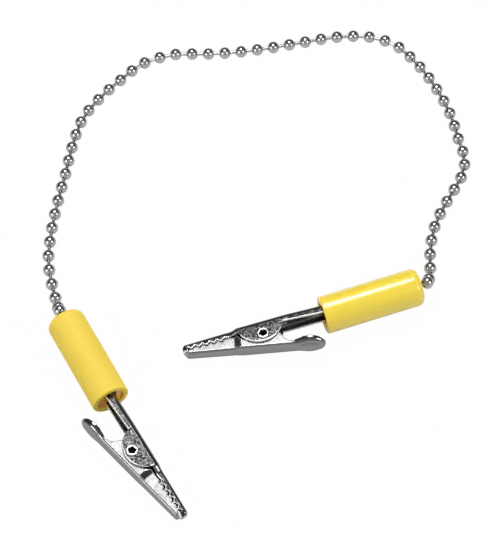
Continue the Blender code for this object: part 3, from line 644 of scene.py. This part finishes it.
# channel and cup inside the sleeve, in the sleeve's frame
BARREL_HALF = 2.2
BARREL_BACK = 1.7
BARREL_RISE = 0.9
BARREL_START = 0.4              # behind the sleeve's open end
BARREL_END = 11.7
CUP_RADIUS = 2.3
CUP_PLAY = 0.16                 # between the ball and its seat
CUP_SEAT = BALL_RADIUS + CUP_PLAY
CUP_LIP_RADIUS = 1.0
CUP_LIP_WALL = 0.5
barrel_section = [(-BARREL_BACK, -BARREL_HALF), (-BARREL_BACK, BARREL_HALF), (BARREL_RISE, BARREL_HALF),
                  (BARREL_RISE, BARREL_HALF - SHEET), (SHEET - BARREL_BACK, BARREL_HALF - SHEET),
                  (SHEET - BARREL_BACK, SHEET - BARREL_HALF), (BARREL_RISE, SHEET - BARREL_HALF),
                  (BARREL_RISE, -BARREL_HALF)]
barrel_verts = [(x * MM, y * MM, z * MM) for x in (-BARREL_START, -BARREL_END)
                for y, z in barrel_section]
barrel_faces = [(i, (i + 1) % 8, 8 + (i + 1) % 8, 8 + i) for i in range(8)]
barrel_faces += [(0, 1, 4, 5), (1, 2, 3, 4), (5, 6, 7, 0),
                 (8, 13, 12, 9), (9, 12, 11, 10), (8, 15, 14, 13)]
lip_deg = math.degrees(math.acos(CUP_LIP_RADIUS / CUP_SEAT))
cup_half = CUP_SEAT * math.sin(math.radians(lip_deg)) + CUP_LIP_WALL
cup_outline = [(CUP_LIP_RADIUS, cup_half), (CUP_RADIUS, cup_half), (CUP_RADIUS, -cup_half),
               (CUP_LIP_RADIUS, -cup_half)] + arc(0, 0, CUP_SEAT, -lip_deg, lip_deg, 10)
for key in CLIPS:
    verts, faces, finishes = pressed_channel(upper_side, BACK_Y, 1, back_bend, False, upper_finish)
    upper = piece("toothed_upper_jaw_" + key, verts, faces, None, upper_finishes, finishes)
    cut_rivet_hole(upper)
    upper.data.transform(clip_frames[key])
    verts, faces = turned(cup_outline, steps=32, closed=True)
    cup = piece("cup", verts, faces, sleeve_frames[key]
                @ Matrix.Translation((-CUP_BEHIND_MOUTH * MM, 0, 0)) @ TURN_TO_X)
    barrel = piece("barrel", barrel_verts, barrel_faces, sleeve_frames[key])
    joined = bmesh.new()
    for part in (upper, cup, barrel):
        joined.from_mesh(part.data)
    joined.to_mesh(upper.data)
    joined.free()
    bpy.data.objects.remove(cup, do_unlink=True)
    bpy.data.objects.remove(barrel, do_unlink=True)
    shade(upper.data)
    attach(upper, "clip_" + key)
    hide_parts("upper_jaw_" + key)

# ---------------------------------------------------------------- lower jaws
# A second pressing with a matching row of teeth, ears that sit between the upper jaw's, and
# a round thumb pad with a rolled rim and a shallow dish.  Brighter plate than the upper jaw.
LEVER_SET_DEG = 13.0
WEB_Y = 3.25
WEB_BEND = 0.7
LEVER_TIP_X = 19.4
LEVER_TIP_HALF = 1.40
LEVER_FRONT_HALF = 1.60
LEVER_REAR_HALF = 1.95
LEVER_NECK_X = 7.6
LEVER_NECK_LENGTH = 2.3
NECK_MARGIN = 0.3               # of the neck's wall at each end, finished like the rest
LEVER_NECK_EDGE = [(7.5, -1.95), (6.2, -1.90), (5.75, -1.45), (5.1, -0.30)]     # clip frame
LEVER_EAR_RADIUS = 2.75
NOSE_LENGTH = 0.9
WALL_RISE = 0.03                # the walls rise over this length behind the nose's lip
TOOTH_GAP = 0.40
FIRST_TOOTH_CUT = 0.45          # the first tooth starts this far behind the upper jaw's
LEVER_STATION_GAP = 0.28
PAD_START_X = -6.4
PAD_WIDEST_X = -11.4
PAD_END_X = -15.1
PAD_HALF = 2.95
PAD_EDGE = [(-3.4, -1.2), (-4.55, 0.2), (-4.9, 1.0), (-5.8, 1.85), (-7.1, 2.15), (-8.4, 1.95),
            (-9.8, 1.65), (-11.2, 1.55)]        # from the ears back, in the jaw's own frame
DISH_X = -11.0
DISH_DEPTH = 0.45
DISH_HALF_LENGTH = 2.7
DISH_HALF_WIDTH = 1.75
PAD_BEND = 1.15                 # the pad's rim is rolled to a larger radius
PAD_BEND_LENGTH = 2.4
PAD_RIM_ROUND = 0.26
RIM_START_X = PAD_START_X - 1.2
RIM_LENGTH = 1.6                # the rim's rounding and its waves grow over this length
RIM_WAVE_PITCH = 1.85           # the rolled rim is slightly wavy, for grip
RIM_WAVE_HEIGHT = 0.07
WALL_SPLAY = 0.06               # the walls open by about 3 degrees


def to_lever(x, y):
    """Clip frame to the lower jaw's own frame."""
    angle = math.radians(LEVER_SET_DEG)
    return (x * math.cos(angle) - y * math.sin(angle), x * math.sin(angle) + y * math.cos(angle))


def to_clip(u, v):
    """Lower jaw's own frame to the clip frame."""
    angle = math.radians(LEVER_SET_DEG)
    return (u * math.cos(angle) + v * math.sin(angle), -u * math.sin(angle) + v * math.cos(angle))


def lever_half(x):
    """Half width of the lower jaw over its length."""
    if x > LEVER_NECK_X:
        straight = LEVER_TIP_X - TIP_CORNER
        return (LEVER_TIP_HALF + (LEVER_FRONT_HALF - LEVER_TIP_HALF) * max(straight - x, 0)
                / (straight - LEVER_NECK_X))
    if x > PAD_START_X:
        return ramp(x, LEVER_NECK_X, LEVER_NECK_LENGTH, LEVER_FRONT_HALF, LEVER_REAR_HALF)
    if x > PAD_WIDEST_X:
        return ramp(x, PAD_START_X, PAD_START_X - PAD_WIDEST_X, LEVER_REAR_HALF, PAD_HALF)
    return PAD_HALF * math.sqrt(max(0.0, 1 - ((PAD_WIDEST_X - x) / (PAD_WIDEST_X - PAD_END_X)) ** 2))


def web_bend(x):
    """Radius of the bends along the web, larger round the thumb pad."""
    return ramp(x, PAD_START_X, PAD_BEND_LENGTH, WEB_BEND, PAD_BEND)


def pad_rim(x):
    """Rounding of the walls' edges, fuller round the thumb pad."""
    return ramp(x, PAD_START_X, RIM_LENGTH, CUT_EDGE_ROUND, PAD_RIM_ROUND)


def rim_wave(x):
    """How far the thumb pad's wavy rim stands above its mean line."""
    wave = math.cos(2 * math.pi * (x - PAD_WIDEST_X) / RIM_WAVE_PITCH)
    return ramp(x, RIM_START_X, RIM_LENGTH, 0.0, RIM_WAVE_HEIGHT) * wave


def pad_dish(x, z):
    """Shallow oval dish pressed into the thumb pad."""
    away = ((x - DISH_X) / DISH_HALF_LENGTH) ** 2 + (z / DISH_HALF_WIDTH) ** 2
    return -DISH_DEPTH * max(0.0, 1 - away) ** 1.1


nose_x = LEVER_TIP_X - NOSE_LENGTH
teeth_x = np.linspace(first_root - FIRST_TOOTH_CUT, last_root, 57)
edge = [to_lever(x, tooth_edge(x) + TOOTH_GAP) for x in teeth_x]
edge += [to_lever(x, y) for x, y in LEVER_NECK_EDGE + arc(0, 0, LEVER_EAR_RADIUS, -30, -155, 40)]
edge = filled(edge + PAD_EDGE, LEVER_STATION_GAP)
rim = [(PAD_WIDEST_X - (PAD_WIDEST_X - PAD_END_X) * math.sin(a), PAD_HALF * math.cos(a))
       for a in np.radians(np.linspace(0, 90, 22))]
lip = WEB_BEND + 0.02
lower_side = [(LEVER_TIP_X, 0.0, lip), (LEVER_TIP_X - TIP_CROWN / 2, 0.3, lip)]
lower_side += [(x - TIP_CROWN, half, lip) for x, half in
               arc(LEVER_TIP_X - TIP_CORNER, LEVER_TIP_HALF - TIP_CORNER, TIP_CORNER, 0, 90, 8)]
lower_side += [(nose_x - WALL_RISE, LEVER_TIP_HALF, lip)]
lower_side += [(x, lever_half(x), WEB_Y - y + rim_wave(x)) for x, y in edge
               if nose_x - 2 * WALL_RISE > x > PAD_WIDEST_X]
# the rim's mean line round the end of the pad
rim_x = [PAD_END_X, -14.5, -13.7, -12.6, -11.2]
rim_y = [2.4, 2.35, 2.1, 1.7, 1.55]
lower_side += [(x, half, WEB_Y - np.interp(x, rim_x, rim_y) + rim_wave(x)) for x, half in rim]

# Bright nickel, tumbled finer than the upper jaw: pale walls with a fine grain.
bright, tree = new_material("bright_nickel_plate_on_pressed_steel")
place = add_node(tree, "ShaderNodeTexCoord").outputs["Object"]
grain = add_node(tree, "ShaderNodeTexNoise",
                 {"Vector": place, "Scale": 2000.0, "Detail": 3.0, "Roughness": 0.6})
bloom = add_node(tree, "ShaderNodeTexNoise", {"Vector": place, "Scale": 300.0, "Detail": 1.0})
haze = add_node(tree, "ShaderNodeMath",
                {0: grain.outputs["Fac"], 1: bloom.outputs["Fac"]}, operation="MULTIPLY")
pale = add_node(tree, "ShaderNodeMapRange",
                {"Value": haze.outputs[0], "From Min": 0.14, "From Max": 0.36})
tone = add_node(tree, "ShaderNodeMix",
                {"Factor": pale.outputs["Result"], "A": linear("#969696"), "B": linear("#B6B6B6")},
                data_type="RGBA")
gloss = add_node(tree, "ShaderNodeMapRange",
                 {"Value": grain.outputs["Fac"], "To Min": 0.56, "To Max": 0.46})
shader = add_node(tree, "ShaderNodeBsdfPrincipled",
                  {"Base Color": tone.outputs["Result"], "Metallic": 1.0,
                   "Roughness": gloss.outputs["Result"]})
add_node(tree, "ShaderNodeOutputMaterial", {"Surface": shader.outputs["BSDF"]})

lower_finishes = [bright, satin, burnished, smooth_plate]


def lower_finish(zone, x):
    """Which of the lower jaw's finishes a zone has; the pad's rim and the neck are smooth."""
    neck_rear = LEVER_NECK_X - LEVER_NECK_LENGTH + NECK_MARGIN
    if zone != "back" and x < RIM_START_X:
        return smooth_plate
    if zone == "wall" and neck_rear < x < LEVER_NECK_X - NECK_MARGIN:
        return smooth_plate
    return {"back": satin, "bend": satin, "roll": burnished, "inside": smooth_plate}.get(zone, bright)


for key in CLIPS:
    verts, faces, finishes = pressed_channel(lower_side, WEB_Y, -1, web_bend, True, lower_finish,
                                             WALL_SPLAY, pad_rim, pad_dish)
    lower = piece("toothed_lower_jaw_" + key, verts, faces, None, lower_finishes, finishes)
    cut_rivet_hole(lower)
    lower.data.transform(clip_frames[key] @ Matrix.Rotation(math.radians(-LEVER_SET_DEG), 4, "Z"))
    shade(lower.data)
    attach(lower, "lever_" + key)
    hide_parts("lower_jaw_" + key)

# ---------------------------------------------------------------- rivets
# Hollow steel rivet through both jaws, its ends rolled over into rings by a tool that leaves
# five soft lobes round the bore.
RIVET_SHANK_RADIUS = 1.15
RIVET_BORE_RADIUS = 0.85
RIVET_HEAD_RADIUS = 1.50
RIVET_HEAD_HEIGHT = 0.32
RIVET_HEAD_GAP = 0.12           # end play under each head
RIVET_UNDER_HEAD = EAR_HALF + RIVET_HEAD_GAP
HEAD_EDGE = (0.05, 0.02)        # the heads' lower edges are broken this far in and up
LOBES = 5
LOBE_HEIGHT = 0.09
LOBE_LENGTH = 0.5               # the lobes fade out this far down the bore
SHADED_BORE_RADIUS = 0.97              # the bore is painted dark within this radius, as painted shade
SHADED_BORE_BELOW_TOP = 0.18           # and this far below the rivet's ends

rivet_plate, tree = new_material("polished_nickel_on_rivet")
place = add_node(tree, "ShaderNodeTexCoord").outputs["Object"]
haze = add_node(tree, "ShaderNodeTexNoise", {"Vector": place, "Scale": 1500.0, "Detail": 2.0})
gloss = add_node(tree, "ShaderNodeMapRange",
                 {"Value": haze.outputs["Fac"], "To Min": 0.22, "To Max": 0.34})
shader = add_node(tree, "ShaderNodeBsdfPrincipled",
                  {"Base Color": linear("#F0F0EE"), "Metallic": 1.0, "Roughness": gloss.outputs["Result"]})
add_node(tree, "ShaderNodeOutputMaterial", {"Surface": shader.outputs["BSDF"]})

# Painted shade down the rivet's bore: a dark, mottled colour that stands in for the shade in the narrow
# hole.
painted_shade_bore, tree = new_material("painted_shade_in_rivet_bore")
place = add_node(tree, "ShaderNodeTexCoord").outputs["Object"]
shade_mottle = add_node(tree, "ShaderNodeTexNoise", {"Vector": place, "Scale": 1200.0, "Detail": 3.0})
tone = add_node(tree, "ShaderNodeMix",
                {"Factor": shade_mottle.outputs["Fac"], "A": linear("#161616"), "B": linear("#3A3A3A")},
                data_type="RGBA")
shader = add_node(tree, "ShaderNodeBsdfPrincipled",
                  {"Base Color": tone.outputs["Result"], "Metallic": 1.0, "Roughness": 0.45})
add_node(tree, "ShaderNodeOutputMaterial", {"Surface": shader.outputs["BSDF"]})

ring = (RIVET_HEAD_RADIUS - RIVET_BORE_RADIUS) / 2
top = RIVET_UNDER_HEAD + RIVET_HEAD_HEIGHT
upper_half = [(RIVET_BORE_RADIUS, 0), (RIVET_BORE_RADIUS, RIVET_UNDER_HEAD - LOBE_LENGTH),
              (RIVET_BORE_RADIUS, top - RIVET_HEAD_HEIGHT * 0.9)]
upper_half += [(RIVET_BORE_RADIUS + ring - ring * math.cos(a), top - RIVET_HEAD_HEIGHT * (1 - math.sin(a)))
               for a in np.radians(np.linspace(10, 165, 12))]
upper_half += [(RIVET_HEAD_RADIUS, RIVET_UNDER_HEAD + HEAD_EDGE[1]),
               (RIVET_HEAD_RADIUS - HEAD_EDGE[0], RIVET_UNDER_HEAD),
               (RIVET_SHANK_RADIUS, RIVET_UNDER_HEAD), (RIVET_SHANK_RADIUS, 0)]
rivet_outline = upper_half + [(r, -z) for r, z in reversed(upper_half)]


def rolled_lobes(radius, z, angle):
    """Lobes that the rolling tool presses round the bore's mouth."""
    near_bore = max(0.0, 1 - (radius - RIVET_BORE_RADIUS) / (2 * ring))
    near_end = min(max((abs(z) - RIVET_UNDER_HEAD + LOBE_LENGTH) / LOBE_LENGTH, 0), 1)
    return radius + LOBE_HEIGHT * near_bore * near_end * math.cos(LOBES * angle)


for key in CLIPS:
    verts, faces = turned(rivet_outline, steps=60, closed=True, lobes=rolled_lobes)
    rivet = piece("hollow_rivet_" + key, verts, faces, clip_frames[key], [rivet_plate, painted_shade_bore])
    inverse = clip_frames[key].inverted()
    # faces down the bore get the painted shade
    for face in rivet.data.polygons:
        local = inverse @ face.center
        if (math.hypot(local.x, local.y) < SHADED_BORE_RADIUS * MM
                and abs(local.z) < (top - SHADED_BORE_BELOW_TOP) * MM):
            face.material_index = 1
    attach(rivet, "clip_" + key)
    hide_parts("pivot_rivet_" + key)

# ---------------------------------------------------------------- springs
# Torsion spring of hard-drawn plated wire round the rivet.  One leg presses on the upper
# jaw's back and the other on the lower jaw, so each leg goes with its own jaw.
SPRING_WIRE = 0.50
SPRING_TURNS = 2.5
SPRING_PITCH = 0.62
SPRING_PLAY = 0.35              # rivet's shank to the inside of the coil
SPRING_RADIUS = RIVET_SHANK_RADIUS + SPRING_PLAY + SPRING_WIRE / 2
SPRING_END_X = -6.6
SPRING_UPPER_END_Y = -2.55
SPRING_LOWER_END_Y = 2.12
COIL_START_DEG = -90
LEG_STATION_GAP = 1.0

drawn, tree = new_material("plated_drawn_spring_wire")
place = add_node(tree, "ShaderNodeTexCoord").outputs["Object"]
die_marks = add_node(tree, "ShaderNodeTexNoise", {"Vector": place, "Scale": 3000.0, "Detail": 2.0})
gloss = add_node(tree, "ShaderNodeMapRange",
                 {"Value": die_marks.outputs["Fac"], "To Min": 0.20, "To Max": 0.34})
shader = add_node(tree, "ShaderNodeBsdfPrincipled",
                  {"Base Color": linear("#BDBDBB"), "Metallic": 1.0, "Roughness": gloss.outputs["Result"]})
add_node(tree, "ShaderNodeOutputMaterial", {"Surface": shader.outputs["BSDF"]})


def wire_mesh(points, steps=14):
    """The spring's round wire along points in mm, closed at both ends."""
    points = [Vector(p) for p in points]
    side = None
    verts = []
    for i, point in enumerate(points):
        way = (points[min(i + 1, len(points) - 1)] - points[max(i - 1, 0)]).normalized()
        side = (way.orthogonal() if side is None else side - way * side.dot(way)).normalized()
        other = way.cross(side)
        for k in range(steps):
            angle = 2 * math.pi * k / steps
            verts.append((point + (side * math.cos(angle) + other * math.sin(angle))
                          * (SPRING_WIRE / 2)) * MM)
    last = (len(points) - 1) * steps
    faces = []
    for here in range(0, last, steps):
        for k in range(steps):
            after = (k + 1) % steps
            faces.append((here + k, here + after, here + steps + after, here + steps + k))
    faces += [tuple(range(steps)), tuple(last + k for k in range(steps))]
    return verts, faces


half = SPRING_TURNS * SPRING_PITCH / 2
coil = []
for angle_deg in np.linspace(COIL_START_DEG, COIL_START_DEG + 360 * SPRING_TURNS, 91):
    angle = math.radians(angle_deg)
    coil.append((SPRING_RADIUS * math.cos(angle), SPRING_RADIUS * math.sin(angle),
                 half - 2 * half * (angle_deg - COIL_START_DEG) / (360 * SPRING_TURNS)))
upper_leg = filled([(SPRING_END_X, SPRING_UPPER_END_Y, half), coil[0]], LEG_STATION_GAP)
lower_leg = filled([coil[-1], (*to_clip(SPRING_END_X, SPRING_LOWER_END_Y), -half)],
                   LEG_STATION_GAP)
for key in CLIPS:
    verts, faces = wire_mesh(upper_leg[:-1] + coil)
    spring = piece("spring_coil_" + key, verts, faces, clip_frames[key], [drawn])
    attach(spring, "clip_" + key)
    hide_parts("torsion_spring_" + key)
    verts, faces = wire_mesh(lower_leg)
    leg = piece("spring_lower_leg_" + key, verts, faces, clip_frames[key], [drawn])
    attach(leg, "lever_" + key)

# ---------------------------------------------------------------- table, lamps and camera
# A white table top under three softboxes, left, right and overhead, in a dim studio.  The
# camera looks down at 54 degrees from half a metre, as for a catalogue picture.
TABLE_SIZE = 6.0
mesh = bpy.data.meshes.new("table_top")
corners = [(-1, -1), (1, -1), (1, 1), (-1, 1)]
mesh.from_pydata([(x * TABLE_SIZE, y * TABLE_SIZE, 0) for x, y in corners], [], [(0, 1, 2, 3)])
table_top = bpy.data.objects.new("table_top", mesh)
bpy.context.scene.collection.objects.link(table_top)

# White laminate that the camera sees as plain white with a faint shadow, and reflections in part.
laminate, tree = new_material("white_laminate")
rays = add_node(tree, "ShaderNodeLightPath")
seen = add_node(tree, "ShaderNodeMath",
                {0: rays.outputs["Is Glossy Ray"], 1: rays.outputs["Is Transmission Ray"]},
                operation="MAXIMUM")
share = add_node(tree, "ShaderNodeMath", {0: seen.outputs[0], 1: 0.25}, operation="MULTIPLY")
camera_share = add_node(tree, "ShaderNodeMath",
                        {0: rays.outputs["Is Camera Ray"], 1: 0.985}, operation="MULTIPLY")
white_share = add_node(tree, "ShaderNodeMath",
                       {0: share.outputs[0], 1: camera_share.outputs[0]}, operation="MAXIMUM")
paint = add_node(tree, "ShaderNodeBsdfDiffuse", {"Color": linear("#CACACA")})
glow = add_node(tree, "ShaderNodeEmission", {"Color": linear("#FFFFFF"), "Strength": 1.0})
mixed = add_node(tree, "ShaderNodeMixShader",
                 {0: white_share.outputs[0], 1: paint.outputs[0], 2: glow.outputs[0]})
add_node(tree, "ShaderNodeOutputMaterial", {"Surface": mixed.outputs[0]})
table_top.data.materials.append(laminate)

# The studio's even, dim light; metal sees a paler wall in front and a darker one behind, and the
# camera sees plain white.
world = bpy.data.worlds.new("dim_studio")
world.use_nodes = True
bpy.context.scene.world = world
tree = world.node_tree
tree.nodes.clear()
rays = add_node(tree, "ShaderNodeLightPath")
towards = add_node(tree, "ShaderNodeTexCoord").outputs["Generated"]
way = add_node(tree, "ShaderNodeSeparateXYZ", {0: towards})
front = add_node(tree, "ShaderNodeMapRange",
                 {"Value": way.outputs["Y"], "From Min": -0.05, "From Max": -0.45})
front_wall = add_node(tree, "ShaderNodeMapRange",
                      {"Value": way.outputs["Z"], "From Min": 0.30, "From Max": 0.60,
                       "To Min": 0.52, "To Max": 0.30})
back_wall = add_node(tree, "ShaderNodeMapRange",
                     {"Value": way.outputs["Z"], "From Min": 0.0, "From Max": 0.25,
                      "To Min": 0.22, "To Max": 0.08})
room = add_node(tree, "ShaderNodeMix",
                {"Factor": front.outputs[0], "A": back_wall.outputs[0], "B": front_wall.outputs[0]},
                data_type="FLOAT")
fill = add_node(tree, "ShaderNodeMix",
                {"Factor": rays.outputs["Is Glossy Ray"], "A": 0.47, "B": room.outputs[0]},
                data_type="FLOAT")
level = add_node(tree, "ShaderNodeMath", {0: rays.outputs["Is Camera Ray"], 1: fill.outputs[0]},
                 operation="MAXIMUM")
sky = add_node(tree, "ShaderNodeBackground", {"Color": linear("#FFFFFF"), "Strength": level.outputs[0]})
add_node(tree, "ShaderNodeOutputWorld", {"Surface": sky.outputs[0]})

LOOK_AT = Vector((0.00302, 0.03823, 0.0))
LAMP_DISTANCE = 0.75
LAMPS = {       # direction from the object, width and height in m, power in W
    "left_softbox": ((-0.73, -0.51, 0.46), 0.33, 0.33, 1.35),
    "right_softbox": ((0.70, -0.37, 0.61), 0.33, 0.33, 1.35),
    "top_softbox": ((-0.07, 0.30, 0.95), 0.32, 0.29, 3.3),
}
for name, (direction, width, height, power) in LAMPS.items():
    lamp = bpy.data.lights.new(name, "AREA")
    lamp.shape = "ELLIPSE"
    lamp.size = width
    lamp.size_y = height
    lamp.energy = power
    obj = bpy.data.objects.new(name, lamp)
    bpy.context.scene.collection.objects.link(obj)
    away = Vector(direction).normalized()
    obj.location = LOOK_AT + away * LAMP_DISTANCE
    obj.rotation_euler = away.to_track_quat("Z", "Y").to_euler()

CAMERA_ELEVATION = math.radians(54.2)
CAMERA_DISTANCE = 0.557
SENSOR_HEIGHT = 24.0
FOCAL_LENGTH_PX = 2200          # in a picture this many pixels high
PICTURE_HEIGHT_PX = 547
camera_data = bpy.data.cameras.new("catalogue_camera")
camera_data.sensor_fit = "VERTICAL"
camera_data.sensor_height = SENSOR_HEIGHT
camera_data.lens = SENSOR_HEIGHT * FOCAL_LENGTH_PX / PICTURE_HEIGHT_PX
camera = bpy.data.objects.new("catalogue_camera", camera_data)
bpy.context.scene.collection.objects.link(camera)
camera.location = LOOK_AT + CAMERA_DISTANCE * Vector((0, -math.cos(CAMERA_ELEVATION),
                                                      math.sin(CAMERA_ELEVATION)))
camera.rotation_euler = (math.pi / 2 - CAMERA_ELEVATION, 0, 0)
bpy.context.scene.camera = camera
bpy.context.scene.view_settings.view_transform = "Standard"
